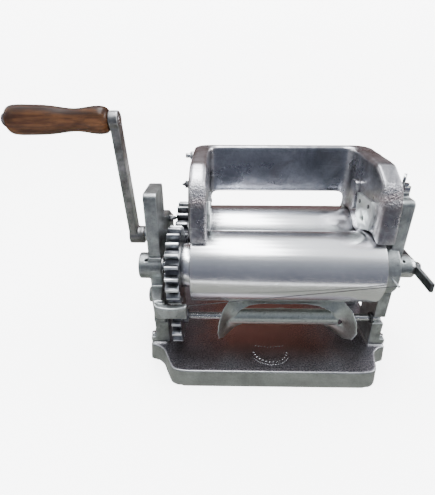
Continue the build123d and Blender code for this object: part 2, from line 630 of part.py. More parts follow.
with BuildPart() as lever_screw:
    extrude(hexagon(across(AXLE_RIGHT + 4.5, JOURNAL_Y, JOURNAL_Z), 10.0), amount=3.5)
keep(lever_screw, "lever_screw")

# ---------------------------------------------------------------- crank
ARM_HUB_X0 = -162.7
ARM_HUB_X1 = -145.4
ARM_BOSS_X0 = -162.5
CRANK_DIR = (-sin(CRANK_LEAN), cos(CRANK_LEAN))


def arm_outline():
    """Tapered bar from the hub to the grip boss as (Y, Z) points."""
    side_y, side_z = CRANK_DIR[1], -CRANK_DIR[0]
    low = (REAR_Y, AXIS_Z)
    high = (GRIP_Y, GRIP_Z)
    return [
        (low[0] - 9 * side_y, low[1] - 9 * side_z), (low[0] + 9 * side_y, low[1] + 9 * side_z),
        (high[0] + 7.5 * side_y, high[1] + 7.5 * side_z),
        (high[0] - 7.5 * side_y, high[1] - 7.5 * side_z)]


with BuildPart() as rear_shaft:
    extrude(disc(ARM_HUB_X0, REAR_Y, AXIS_Z, SHAFT_R), amount=RIGHT_REAR_END + 2 - ARM_HUB_X0)
keep(rear_shaft, "rear_shaft")

with BuildPart() as crank_arm:
    extrude(side_profile(ARM_X0, arm_outline()), amount=ARM_X1 - ARM_X0)
    extrude(disc(ARM_HUB_X0, REAR_Y, AXIS_Z, 10.5), amount=ARM_HUB_X1 - ARM_HUB_X0)
    extrude(disc(ARM_BOSS_X0, GRIP_Y, GRIP_Z, 9.0), amount=ARM_X1 - ARM_BOSS_X0)
    extrude(disc(ARM_BOSS_X0, GRIP_Y, GRIP_Z, 4.0), amount=ARM_X1 - ARM_BOSS_X0,
            mode=Mode.SUBTRACT)
    extrude(disc(ARM_HUB_X0, REAR_Y, AXIS_Z, SHAFT_R), amount=ARM_HUB_X1 - ARM_HUB_X0,
            mode=Mode.SUBTRACT)
keep(crank_arm, "crank_arm")

with BuildPart() as grip_spindle:
    extrude(disc(GRIP_X0 - 0.8, GRIP_Y, GRIP_Z, 4.0), amount=ARM_X1 - GRIP_X0 + 0.8)
keep(grip_spindle, "grip_spindle")

with BuildPart() as wooden_grip:
    with BuildSketch(Plane(origin=(0, GRIP_Y, GRIP_Z), x_dir=(1, 0, 0), z_dir=(0, -1, 0))):
        with BuildLine():
            Line((GRIP_X0, 0), (GRIP_X0, 8.5))
            Spline((GRIP_X0, 8.5), (GRIP_X0 + 2, 12.6), (GRIP_X0 + 8, 14.2), (GRIP_X0 + 22, 14.3),
                   (GRIP_X0 + 38, 13.8), (GRIP_X0 + 53, 12.0), (GRIP_X0 + 67, 10.9),
                   (GRIP_X0 + 79, 12.3), (GRIP_X0 + 90, 13.3), (GRIP_X1 - 2, 11.5),
                   (GRIP_X1, 8.0))
            Line((GRIP_X1, 8.0), (GRIP_X1, 0))
            Line((GRIP_X1, 0), (GRIP_X0, 0))
        make_face()
    revolve(axis=x_axis_at(GRIP_Y, GRIP_Z))
    extrude(disc(GRIP_X0 - 1, GRIP_Y, GRIP_Z, 4.1), amount=102.0, mode=Mode.SUBTRACT)
keep(wooden_grip, "wooden_grip")

with BuildPart() as grip_button:
    extrude(disc(GRIP_X0 - 5.8, GRIP_Y, GRIP_Z, 6.9), amount=5.4)
    fillet(grip_button.edges().sort_by(Axis.X)[0], 3.0)
    extrude(disc(GRIP_X0 - 0.8, GRIP_Y, GRIP_Z, 4.0), amount=1.0, mode=Mode.SUBTRACT)
keep(grip_button, "grip_button")

# ---------------------------------------------------------------- rotary cutter
CUTTER_GEAR_X = -102.5
CUTTER_GEAR_W = 9.5
GAP_TRAVEL = THROW * (cos(THROW_ANGLE) - cos(THROW_ANGLE + radians(50)))
MESH_BIAS = GAP_TRAVEL / 2 * abs(sin(CUTTER_ANGLE)) / (MODULE * CUTTER_TEETH / 2)
CUTTER_GEAR_TURN = CUTTER_ANGLE + pi + MESH_BIAS
RIM_T = 1.0
FOOT_T = 3.0
SLOPE = 12.0
CUTTER_HUB_R = 8.5
CUTTER_HUB_X0 = -43.5
CUTTER_HUB_LEN = 117.0

with BuildPart() as cutter_shaft:
    extrude(disc(LEFT_OUT + 1, CUTTER_Y, CUTTER_Z, CUTTER_SHAFT_R), amount=116.5 - LEFT_OUT - 1)
keep(cutter_shaft, "cutter_shaft")

with BuildPart() as cutter_gear:
    centre = across(CUTTER_GEAR_X, CUTTER_Y, CUTTER_Z)
    extrude(gear_profile(centre, CUTTER_TEETH, CUTTER_GEAR_TURN), amount=CUTTER_GEAR_W)
    extrude(disc(CUTTER_GEAR_X + CUTTER_GEAR_W, CUTTER_Y, CUTTER_Z, 8.0), amount=6.0)
    extrude(disc(CUTTER_GEAR_X, CUTTER_Y, CUTTER_Z, CUTTER_SHAFT_R), amount=20,
            mode=Mode.SUBTRACT)
keep(cutter_gear, "cutter_gear")

with BuildPart() as retaining_ring:
    extrude(disc(109.0, CUTTER_Y, CUTTER_Z, 6.0), amount=2.0)
    extrude(disc(109.0, CUTTER_Y, CUTTER_Z, CUTTER_SHAFT_R), amount=2.0, mode=Mode.SUBTRACT)
keep(retaining_ring, "retaining_ring")


def ring_section(t):
    """The ring wall's section where the rim curve has parameter t, as a face."""
    angle = CUTTER_FACE + CUTTER_WRAP * sin(t)
    radial = Vector(0, cos(angle), sin(angle))
    around = Vector(0, -sin(angle), cos(angle))
    out_x = cos(t) / CUTTER_HALF
    out_a = sin(t) / (CUTTER_WRAP * CUTTER_RIM_R)
    outward = (Vector(1, 0, 0) * out_x + around * out_a).normalized()
    rim = Vector(CUTTER_X + CUTTER_HALF * cos(t), CUTTER_Y, CUTTER_Z)
    inner_r = 7.5 + 12.0 * max(0.0, sin(t) - 0.5)
    shift = SLOPE * cos(t) * (CUTTER_RIM_R - inner_r) / CUTTER_RIM_R
    corners = [
        rim + radial * CUTTER_RIM_R, rim + radial * inner_r - outward * shift,
        rim + radial * inner_r - outward * (shift + FOOT_T),
        rim + radial * CUTTER_RIM_R - outward * RIM_T]
    return Face(Wire.make_polygon(corners, close=True))


with BuildPart() as cutter:
    stations = [k * pi / 2 / 8 for k in range(9)]
    quarter = loft([ring_section(t) for t in stations], ruled=True, mode=Mode.PRIVATE)
    half = quarter + mirror(quarter, about=Plane(origin=(CUTTER_X, 0, 0), z_dir=(1, 0, 0)),
                            mode=Mode.PRIVATE)
    facing = Plane(origin=(0, CUTTER_Y, CUTTER_Z), x_dir=(1, 0, 0),
                   z_dir=(0, -sin(CUTTER_FACE), cos(CUTTER_FACE)))
    add(half)
    add(mirror(half, about=facing, mode=Mode.PRIVATE))
    extrude(disc(CUTTER_HUB_X0, CUTTER_Y, CUTTER_Z, CUTTER_HUB_R), amount=CUTTER_HUB_LEN)
    extrude(disc(-70.0, CUTTER_Y, CUTTER_Z, CUTTER_SHAFT_R), amount=170.0, mode=Mode.SUBTRACT)
keep(cutter, "cutter")

# ---------------------------------------------------------------- peeling wire
WIRE_R = 0.4
WIRE_LEFT = Vector(-88.0, -73.2, 92.0)
WIRE_RIGHT = Vector(WIRE_POST_X, WIRE_POST_Y, WIRE_Z1)
with BuildPart() as peeling_wire:
    direction = (WIRE_RIGHT - WIRE_LEFT).normalized()
    with BuildSketch(Plane(origin=WIRE_LEFT - 2.5 * direction, z_dir=direction)):
        Circle(WIRE_R)
    extrude(amount=(WIRE_RIGHT - WIRE_LEFT).length + 4.5)
keep(peeling_wire, "peeling_wire")

with BuildPart() as wire_post:
    extrude(wire_post_disc(), amount=WIRE_POST_LENGTH)
    add(peeling_wire.part, mode=Mode.SUBTRACT)
keep(wire_post, "wire_post")

with BuildPart() as wire_clip:
    with BuildSketch(Plane(origin=(WIRE_LEFT.X, GUARD_FRONT + GUARD_T, WIRE_LEFT.Z),
                           x_dir=(1, 0, 0), z_dir=(0, 1, 0))):
        Circle(1.8)
    extrude(amount=2.4)
    add(peeling_wire.part, mode=Mode.SUBTRACT)
keep(wire_clip, "wire_clip")
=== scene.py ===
import json
import math

import bmesh
import bpy
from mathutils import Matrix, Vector


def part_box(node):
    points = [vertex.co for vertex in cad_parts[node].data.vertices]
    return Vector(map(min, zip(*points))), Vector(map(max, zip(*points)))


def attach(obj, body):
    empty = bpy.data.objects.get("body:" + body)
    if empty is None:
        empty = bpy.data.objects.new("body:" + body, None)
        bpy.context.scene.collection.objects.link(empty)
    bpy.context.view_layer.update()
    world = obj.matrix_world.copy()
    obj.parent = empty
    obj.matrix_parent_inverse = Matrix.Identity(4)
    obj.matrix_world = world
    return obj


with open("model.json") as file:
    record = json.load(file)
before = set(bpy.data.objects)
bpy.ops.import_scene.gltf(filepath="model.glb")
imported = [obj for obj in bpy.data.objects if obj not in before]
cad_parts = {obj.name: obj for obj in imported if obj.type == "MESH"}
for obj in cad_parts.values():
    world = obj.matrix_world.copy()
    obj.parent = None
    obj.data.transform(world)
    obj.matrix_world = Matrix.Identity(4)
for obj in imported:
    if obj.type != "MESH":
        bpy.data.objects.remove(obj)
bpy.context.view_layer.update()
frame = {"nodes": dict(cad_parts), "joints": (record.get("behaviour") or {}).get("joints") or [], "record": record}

MM = 0.001
TAU = 2 * math.pi
JOINTS = {joint["name"]: joint for joint in frame["joints"]}
CRANK_AXIS = Vector(JOINTS["crank_spin"]["pos_m"])
FRONT_AXIS = Vector(JOINTS["front_roller_spin"]["pos_m"])
CUTTER_AXIS = Vector(JOINTS["cutter_spin"]["pos_m"])

CAMERA_PLACE = (-0.05124, -0.34488, 0.29575)
CAMERA_DOWN = 27.19          # degrees below the horizontal
CAMERA_TURN = 0.92           # degrees to the left
CAMERA_LENS = 28.67
SENSOR_WIDTH = 36.0

FLOOR_SHADE = 0.96
FLOOR_GLOW = 3.2
SWEEP_FLAT = 3.0             # radius of the flat part of the floor
SWEEP_RADIUS = 1.2           # radius of the curve at its edge
SWEEP_TOP = 2.6
SWEEP_SIDES = 64
SWEEP_STEPS = 12
WORLD_TINT = (0.95, 0.97, 1.0)
WORLD_STRENGTH = 1.9

# Each lamp: name, place, size, power.
LAMPS = (
    ("key_light", (-0.15, -0.02, 1.5), (1.5, 0.55), 36.0),
    ("right_light", (1.3, 0.1, 0.9), (0.4, 0.8), 10.0),
)
LAMP_AIM = (0, 0, 0.12)

# Each card: name, middle of its low edge, middle of its high edge, half its width, the axis
# that its edges run along, and its shades at heights from 0 (low edge) to 1 (high edge).
CARDS = (
    ("table_card", (0, -0.27, 0.0008), (0, 0.7, 0.0008), 0.9, "X",
     ((0.0, (0.50, 0.51, 0.465)), (1.0, (0.50, 0.51, 0.465)))),
    ("front_card", (0, -0.29, 0.001), (0, -0.95, 1.83), 1.8, "X",
     ((0.0, (0.13, 0.135, 0.18)), (0.04, (0.13, 0.135, 0.18)), (0.10, (0.20, 0.215, 0.27)),
      (0.20, (0.30, 0.325, 0.38)), (0.35, (0.46, 0.49, 0.54)), (0.6, (0.66, 0.69, 0.73)),
      (1.0, (1.0, 1.03, 1.05)))),
    ("left_card", (-0.8, 0.1, 0.0), (-1.0, 0.1, 0.62), 1.0, "Y",
     ((0.0, (0.17, 0.155, 0.15)), (1.0, (0.40, 0.40, 0.41)))),
    ("right_card", (0.8, 0.1, 0.0), (1.0, 0.1, 0.50), 1.0, "Y",
     ((0.0, (0.10, 0.055, 0.045)), (0.5, (0.13, 0.09, 0.085)), (1.0, (0.28, 0.26, 0.26)))),
    ("warm_card", (0, 0.75, 0.0), (0, 0.85, 0.62), 1.1, "X",
     ((0.0, (0.17, 0.085, 0.07)), (1.0, (0.22, 0.15, 0.145)))),
    ("back_card", (0, 0.85, 0.62), (0, 0.95, 1.35), 1.1, "X",
     ((0.0, (0.22, 0.16, 0.16)), (1.0, (0.34, 0.31, 0.32)))),
)


# ------------------------------------------------------------------ camera and light
def make_camera():
    """The camera stands in front, a little to the left, and looks down on the rollers."""
    data = bpy.data.cameras.new("camera")
    data.sensor_fit = "HORIZONTAL"
    data.sensor_width = SENSOR_WIDTH
    data.lens = CAMERA_LENS
    data.clip_start = 0.01
    camera = bpy.data.objects.new("camera", data)
    camera.location = CAMERA_PLACE
    camera.rotation_euler = (math.radians(90 - CAMERA_DOWN), 0, math.radians(CAMERA_TURN))
    bpy.context.scene.collection.objects.link(camera)
    bpy.context.scene.camera = camera


def make_light(name, place, size, power):
    """A large soft lamp that the camera itself doesn't see."""
    data = bpy.data.lights.new(name, "AREA")
    data.shape = "RECTANGLE"
    data.size, data.size_y = size
    data.energy = power
    lamp = bpy.data.objects.new(name, data)
    lamp.location = place
    lamp.rotation_euler = (Vector(LAMP_AIM) - Vector(place)).to_track_quat("-Z", "Y").to_euler()
    lamp.visible_camera = False
    bpy.context.scene.collection.objects.link(lamp)


def make_card(name, low, high, half_width, along, shades):
    """A studio card that only shows in reflections, graded from its low to its high edge."""
    material = bpy.data.materials.new(name)
    material.use_nodes = True
    tree = material.node_tree
    shader = tree.nodes["Principled BSDF"]
    shader.inputs["Base Color"].default_value = (0, 0, 0, 1)
    shader.inputs["Specular IOR Level"].default_value = 0.0
    shader.inputs["Emission Strength"].default_value = 1.0
    height = tree.nodes.new("ShaderNodeSeparateXYZ")
    tree.links.new(tree.nodes.new("ShaderNodeTexCoord").outputs["Generated"], height.inputs[0])
    grade = tree.nodes.new("ShaderNodeValToRGB")
    while len(grade.color_ramp.elements) < len(shades):
        grade.color_ramp.elements.new(0.5)
    for element, (position, shade) in zip(grade.color_ramp.elements, shades):
        element.position = position
        element.color = (*shade, 1)
    tree.links.new(height.outputs["Z"], grade.inputs["Fac"])
    tree.links.new(grade.outputs["Color"], shader.inputs["Emission Color"])
    side = Vector((half_width, 0, 0)) if along == "X" else Vector((0, half_width, 0))
    low, high = Vector(low), Vector(high)
    mesh = bpy.data.meshes.new(name)
    mesh.from_pydata([low - side, low + side, high + side, high - side], [], [(0, 1, 2, 3)])
    mesh.materials.append(material)
    card = bpy.data.objects.new(name, mesh)
    card.visible_camera = False
    card.visible_shadow = False
    card.visible_diffuse = False
    bpy.context.scene.collection.objects.link(card)


def make_floor():
    """A pale round sweep: flat under the machine, curving up far away on every side."""
    profile = []
    for k in range(SWEEP_STEPS + 1):
        a = k / SWEEP_STEPS * math.pi / 2
        profile.append((SWEEP_FLAT + SWEEP_RADIUS * math.sin(a), SWEEP_RADIUS * (1 - math.cos(a))))
    profile.append((SWEEP_FLAT + SWEEP_RADIUS, SWEEP_TOP))
    bm = bmesh.new()
    turns = [TAU * i / SWEEP_SIDES for i in range(SWEEP_SIDES)]
    rings = [[bm.verts.new((r * math.cos(turn), r * math.sin(turn), z)) for turn in turns]
             for r, z in profile]
    bm.faces.new(rings[0])
    for inner, outer in zip(rings, rings[1:]):
        for i in range(SWEEP_SIDES):
            j = (i + 1) % SWEEP_SIDES
            bm.faces.new((inner[i], outer[i], outer[j], inner[j])).smooth = True
    mesh = bpy.data.meshes.new("floor")
    bm.to_mesh(mesh)
    bm.free()
    material = bpy.data.materials.new("floor")
    material.use_nodes = True
    shader = material.node_tree.nodes["Principled BSDF"]
    shader.inputs["Base Color"].default_value = (FLOOR_SHADE, FLOOR_SHADE, FLOOR_SHADE, 1)
    shader.inputs["Roughness"].default_value = 0.9
    shader.inputs["Specular IOR Level"].default_value = 0.1
    shader.inputs["Emission Color"].default_value = (1, 1, 1, 1)
    shader.inputs["Emission Strength"].default_value = FLOOR_GLOW
    mesh.materials.append(material)
    floor = bpy.data.objects.new("floor", mesh)
    bpy.context.scene.collection.objects.link(floor)


def make_world():
    world = bpy.data.worlds.new("world")
    world.use_nodes = True
    background = world.node_tree.nodes["Background"]
    background.inputs["Color"].default_value = (*WORLD_TINT, 1)
    background.inputs["Strength"].default_value = WORLD_STRENGTH
    bpy.context.scene.world = world


def light_the_studio():
    make_world()
    make_floor()
    for lamp in LAMPS:
        make_light(*lamp)
    for card in CARDS:
        make_card(*card)


# ------------------------------------------------------------------ materials
# Outward edges are lightened towards this colour: a painted highlight, partly rubbed wear.
HIGHLIT_WORN_EDGE = (0.78, 0.81, 0.83)
ROLLER_GEAR_TIP = 40.25 * MM
CUTTER_GEAR_TIP = 28.0 * MM
EDGE_HIGHLIGHT_FROM, EDGE_HIGHLIGHT_TO = 0.515, 0.570    # pointiness where the painted edge highlight and rubbing start, and where they are full


class Nodes:
    """A short way to write a node tree for one material.  Scales are in features per metre."""

    def __init__(self, name, colour, metallic, roughness):
        self.material = bpy.data.materials.new(name)
        self.material.use_nodes = True
        self.tree = self.material.node_tree
        self.shader = self.tree.nodes["Principled BSDF"]
        self.shader.inputs["Base Color"].default_value = (*colour, 1)
        self.shader.inputs["Metallic"].default_value = metallic
        self.shader.inputs["Roughness"].default_value = roughness
        coordinates = self.add("ShaderNodeTexCoord")
        self.place = coordinates.outputs["Object"]
        self.facing = coordinates.outputs["Normal"]

    def add(self, kind, **values):
        node = self.tree.nodes.new(kind)
        for key, value in values.items():
            setattr(node, key, value)
        return node

    def link(self, source, target):
        self.tree.links.new(source, target)

    def stretched(self, scale):
        """Object coordinates multiplied by a scale along each axis."""
        mapping = self.add("ShaderNodeMapping")
        mapping.inputs["Scale"].default_value = scale
        self.link(self.place, mapping.inputs["Vector"])
        return mapping.outputs["Vector"]

    def noise(self, scale, detail=4.0, rough=0.55, vector=None, distortion=0.0):
        node = self.add("ShaderNodeTexNoise")
        node.inputs["Scale"].default_value = scale
        node.inputs["Detail"].default_value = detail
        node.inputs["Roughness"].default_value = rough
        node.inputs["Distortion"].default_value = distortion
        self.link(vector or self.place, node.inputs["Vector"])
        return node.outputs["Fac"]

    def cells(self, scale):
        """Distance to the nearest of many scattered points."""
        node = self.add("ShaderNodeTexVoronoi")
        node.inputs["Scale"].default_value = scale
        self.link(self.place, node.inputs["Vector"])
        return node.outputs["Distance"]

    def ramp(self, fac, stops):
        """Maps a value through colour stops (position, colour or grey level)."""
        node = self.add("ShaderNodeValToRGB")
        elements = node.color_ramp.elements
        while len(elements) < len(stops):
            elements.new(0.5)
        for element, (position, colour) in zip(elements, stops):
            element.position = position
            if isinstance(colour, (int, float)):
                colour = (colour, colour, colour)
            element.color = (*colour, 1)
        self.link(fac, node.inputs["Fac"])
        return node.outputs["Color"]

    def mix(self, fac, a, b, mode="MIX"):
        node = self.add("ShaderNodeMix", data_type="RGBA", blend_type=mode)
        if isinstance(fac, (int, float)):
            node.inputs[0].default_value = fac
        else:
            self.link(fac, node.inputs[0])
        for socket, value in ((node.inputs[6], a), (node.inputs[7], b)):
            if isinstance(value, tuple):
                socket.default_value = (*value, 1)
            else:
                self.link(value, socket)
        return node.outputs[2]

    def math(self, operation, a, b=None):
        node = self.add("ShaderNodeMath", operation=operation)
        for socket, value in zip(node.inputs, (a, b)):
            if value is None:
                continue
            if isinstance(value, (int, float)):
                socket.default_value = value
            else:
                self.link(value, socket)
        return node.outputs[0]

    def spread(self, fac, low, high):
        """A value from 0..1 remapped to low..high."""
        node = self.add("ShaderNodeMapRange")
        node.inputs["To Min"].default_value = low
        node.inputs["To Max"].default_value = high
        self.link(fac, node.inputs["Value"])
        return node.outputs["Result"]

    def axis(self, vector, name):
        """One component of a vector, by its letter."""
        node = self.add("ShaderNodeSeparateXYZ")
        self.link(vector, node.inputs[0])
        return node.outputs[name]

    def between(self, value, low, high):
        """0 below low, 1 above high, with a soft step between them."""
        node = self.add("ShaderNodeMapRange", interpolation_type="SMOOTHSTEP")
        node.inputs["From Min"].default_value = low
        node.inputs["From Max"].default_value = high
        self.link(value, node.inputs["Value"])
        return node.outputs["Result"]

    def radius_from(self, centre):
        """Distance from an axis along X through the given point."""
        node = self.add("ShaderNodeVectorMath", operation="SUBTRACT")
        node.inputs[1].default_value = centre
        self.link(self.place, node.inputs[0])
        flat = self.add("ShaderNodeVectorMath", operation="MULTIPLY")
        flat.inputs[1].default_value = (0, 1, 1)
        self.link(node.outputs[0], flat.inputs[0])
        length = self.add("ShaderNodeVectorMath", operation="LENGTH")
        self.link(flat.outputs[0], length.inputs[0])
        return length.outputs["Value"]

    def edge_highlight_and_wear(self):
        """1 along the outward edges of the mesh, 0 on its flats: where the painted edge highlight and rubbed wear
        go.
        """
        pointiness = self.add("ShaderNodeNewGeometry").outputs["Pointiness"]
        return self.between(pointiness, EDGE_HIGHLIGHT_FROM, EDGE_HIGHLIGHT_TO)

    def blend(self, pattern, low, high, dark, light):
        """The dark colour where the pattern is below low, the light one where it is above high."""
        return self.mix(self.ramp(pattern, [(low, 0.0), (high, 1.0)]), dark, light)

    def speckle(self, amount, base, pattern, low, high, floor):
        """Darkens the base towards a share of itself, floor, where the pattern is below low."""
        return self.mix(amount, base, self.ramp(pattern, [(low, floor), (high, 1.0)]), "MULTIPLY")

    def colour(self, source):
        self.link(source, self.shader.inputs["Base Color"])

    def roughness(self, source):
        self.link(source, self.shader.inputs["Roughness"])

    def bump(self, height, distance, strength=1.0, below=None):
        node = self.add("ShaderNodeBump")
        node.inputs["Strength"].default_value = strength
        node.inputs["Distance"].default_value = distance
        self.link(height, node.inputs["Height"])
        if below is not None:
            self.link(below, node.inputs["Normal"])
        return node.outputs["Normal"]

    def normal(self, source):
        self.link(source, self.shader.inputs["Normal"])


def shaded(colour, share):
    """A colour dimmed to a share of itself."""
    return tuple(c * share for c in colour)


def cast_aluminium(name, light, dark, grain, depth, rough, blotch=60.0):
    """Sand-cast metal: fine grains, soft dents, patchy tone, dark pits, and edges lightened by rubbed wear and a
    painted highlight.
    """
    m = Nodes(name, light, 1.0, rough)
    tone = m.noise(blotch, 5.0, 0.6)
    speck = m.noise(grain * 0.6, 3.0, 0.7)
    pits = m.noise(grain * 0.35, 2.0, 0.5)
    base = m.blend(tone, 0.35, 0.68, dark, light)
    base = m.speckle(0.35, base, speck, 0.35, 0.62, floor=0.55)
    base = m.speckle(0.30, base, pits, 0.30, 0.40, floor=0.35)
    # Outward edges are lightened: a painted highlight, partly rubbed wear.
    m.colour(m.mix(m.math("MULTIPLY", m.edge_highlight_and_wear(), 0.55), base, HIGHLIT_WORN_EDGE))
    m.roughness(m.spread(m.noise(grain * 0.3, 3.0, 0.6), rough - 0.10, rough + 0.16))
    grains = m.bump(m.noise(grain, 3.0, 0.65), depth)
    m.normal(m.bump(m.noise(grain * 0.12, 3.0, 0.5), depth * 5, 0.7, grains))
    return m.material


def base_aluminium(name):
    """The base: plain light sides, and a hammered top painted dark with shade, smoother in the middle, where a
    warm reflection is painted.
    """
    side_dark, side_light = (0.28, 0.295, 0.30), (0.42, 0.445, 0.45)
    # The top's grey is painted shade, darker than the sides; its warm colour is a painted reflection.
    shaded_top, warm_reflection_top = (0.225, 0.215, 0.24), (0.31, 0.165, 0.14)
    m = Nodes(name, side_light, 1.0, 0.35)
    up = m.between(m.axis(m.facing, "Z"), 0.80, 0.97)
    blotch = m.noise(30.0, 5.0, 0.6, distortion=0.4)
    grain = m.noise(620.0, 3.0, 0.7)
    sides = m.blend(blotch, 0.35, 0.65, side_dark, side_light)
    sides = m.speckle(0.30, sides, grain, 0.3, 0.6, floor=0.5)
    x = m.axis(m.place, "X")
    y = m.axis(m.place, "Y")
    # The middle of the top carries a painted warm reflection, with a ragged border.
    from_middle = m.math("ADD", m.math("ABSOLUTE", x), m.math("MULTIPLY", blotch, 0.06))
    warm_reflection_mask = m.math("MULTIPLY", m.between(from_middle, 0.135, 0.070), m.between(y, -0.080, -0.040))
    top = m.mix(warm_reflection_mask, shaded_top, warm_reflection_top)
    # Both sides and the front of the top get the sand-cast grain with painted glints.
    grain_glints = m.ramp(grain, [(0.36, 0.30), (0.52, 0.85), (0.66, 1.75)])
    from_spot = m.math("ABSOLUTE", m.math("ADD", x, 0.005))
    side_zone = m.between(m.math("ADD", from_spot, m.math("MULTIPLY", blotch, 0.05)), 0.045, 0.085)
    front_zone = m.between(y, -0.052, -0.070)
    grainy = m.math("MAXIMUM", m.math("MULTIPLY", side_zone, 0.8), front_zone)
    top = m.mix(m.math("MULTIPLY", grainy, 0.8), top, m.mix(1.0, top, grain_glints, "MULTIPLY"))
    # Outward edges are lightened: a painted highlight, partly rubbed wear.
    m.colour(m.mix(m.math("MULTIPLY", m.edge_highlight_and_wear(), 0.5), m.mix(up, sides, top), HIGHLIT_WORN_EDGE))
    m.roughness(m.spread(m.noise(160.0, 4.0, 0.6), 0.24, 0.46))
    dents = m.bump(m.cells(330.0), 0.20 * MM, 0.4)
    m.normal(m.bump(grain, 0.12 * MM, 0.8, dents))
    return m.material


def polished_casting(name):
    """Buffed casting: soft ripples, cloudy haze partly painted as mottled reflection, painted brownish reflection
    smears and hammered arm ends.
    """
    dark_haze_and_reflection, light_haze_and_reflection = (0.25, 0.25, 0.27), (0.56, 0.56, 0.59)
    brown_reflection, scratched, blue_reflection = (0.27, 0.225, 0.225), (0.78, 0.79, 0.81), (0.34, 0.37, 0.44)
    m = Nodes(name, light_haze_and_reflection, 1.0, 0.2)
    # Cloudy haze, partly a painted mottled reflection.
    haze_and_reflection = m.noise(26.0, 6.0, 0.62, distortion=0.8)
    reflection_smear = m.noise(14.0, 5.0, 0.6, m.stretched((1.0, 1.0, 2.2)), distortion=1.2)
    scratch = m.noise(60.0, 5.0, 0.7, m.stretched((0.35, 1.0, 3.0)), distortion=1.6)
    base = m.blend(haze_and_reflection, 0.36, 0.62, dark_haze_and_reflection, light_haze_and_reflection)
    # Painted brownish reflection smears.
    base = m.mix(m.ramp(reflection_smear, [(0.50, 0.0), (0.68, 0.70)]), base, brown_reflection)
    base = m.mix(m.ramp(scratch, [(0.58, 0.0), (0.64, 0.35)]), base, scratched)
    # The inner face of the back gets a painted dark blue reflection: duller and bluer than the rims.
    z = m.axis(m.place, "Z")
    y = m.axis(m.place, "Y")
    inward = m.between(m.axis(m.facing, "Y"), -0.80, -0.97)
    inner_reflection_zone = m.math("MULTIPLY", inward, m.between(y, 0.020, 0.036))
    base = m.mix(m.math("MULTIPLY", inner_reflection_zone, 0.75), base, m.mix(0.8, blue_reflection, base, "MULTIPLY"))
    m.colour(m.speckle(0.3, base, m.noise(420.0, 3.0, 0.6), 0.3, 0.6, floor=0.55))
    m.roughness(m.spread(m.noise(38.0, 5.0, 0.6), 0.16, 0.44))
    # Hammered patches on the arm fronts, at their foot and at their shoulder.
    foot = m.between(z, 0.163, 0.148)
    shoulder = m.math("MULTIPLY", m.between(z, 0.180, 0.190), m.between(z, 0.212, 0.204))
    arms = m.between(y, -0.036, -0.044)
    patch = m.math("MULTIPLY", arms, m.math("MAXIMUM", foot, shoulder))
    hammer = m.math("MULTIPLY", m.noise(520.0, 2.0, 0.7), patch)
    ripple = m.bump(m.noise(44.0, 2.0, 0.5), 1.6 * MM, 0.35)
    worn = m.bump(hammer, 1.6 * MM, 0.9, ripple)
    m.normal(m.bump(m.noise(700.0, 2.0, 0.5), 0.05 * MM, 0.6, worn))
    return m.material


def turned_aluminium(name, light, rough):
    """Smooth lathe-turned metal: a very faint satin grain and a cloudy tone."""
    m = Nodes(name, light, 1.0, rough)
    rings = m.noise(900.0, 3.0, 0.7, m.stretched((1.0, 0.02, 0.02)))
    cloud = m.noise(16.0, 4.0, 0.5)
    scuff = m.noise(120.0, 5.0, 0.7, m.stretched((0.6, 1.0, 1.0)))
    base = m.blend(cloud, 0.3, 0.7, shaded(light, 0.93), light)
    base = m.speckle(0.10, base, rings, 0.3, 0.65, floor=0.80)
    m.colour(m.speckle(0.12, base, scuff, 0.35, 0.60, floor=0.75))
    m.roughness(m.spread(cloud, rough - 0.03, rough + 0.04))
    m.normal(m.bump(rings, 0.01 * MM, 0.3))
    return m.material


def machined_steel(name, light, dark, rough, grime=0.5):
    """Cut metal: light scratches, an oily film and darker patches."""
    m = Nodes(name, light, 1.0, rough)
    film = m.noise(90.0, 5.0, 0.6)
    scratch = m.noise(500.0, 2.0, 0.6, m.stretched((1.0, 0.05, 0.05)))
    base = m.blend(film, 0.35, 0.65, dark, light)
    m.colour(m.speckle(grime, base, scratch, 0.3, 0.6, floor=0.55))
    m.roughness(m.spread(m.noise(90.0, 4.0, 0.6), rough - 0.06, rough + 0.10))
    m.normal(m.bump(scratch, 0.01 * MM, 0.3))
    return m.material


def gear_steel(name, axis, tip_radius, light):
    """A gear: painted shade, black, in the tooth gaps, and a painted highlight, partly rubbed wear, on the tooth
    tips.
    """
    gap_shade, edge_highlight_and_wear = (0.06, 0.062, 0.07), (0.80, 0.82, 0.85)
    m = Nodes(name, light, 1.0, 0.30)
    film = m.noise(150.0, 5.0, 0.6)
    reach = m.radius_from(axis)
    tips = m.between(m.math("ADD", reach, m.math("MULTIPLY", film, 0.6 * MM)),
                     tip_radius - 0.7 * MM, tip_radius - 0.1 * MM)
    gaps = m.between(reach, tip_radius - 1.5 * MM, tip_radius - 5.5 * MM)
    base = m.blend(film, 0.35, 0.65, shaded(light, 0.45), light)
    # Painted shade in the tooth gaps.
    base = m.mix(m.math("MULTIPLY", gaps, 0.65), base, gap_shade)
    # Painted highlight on the tooth tips, partly rubbed wear.
    m.colour(m.mix(m.math("MULTIPLY", tips, 0.85), base, edge_highlight_and_wear))
    m.roughness(m.spread(film, 0.22, 0.48))
    m.normal(m.bump(m.noise(800.0, 3.0, 0.6), 0.08 * MM, 0.6))
    return m.material


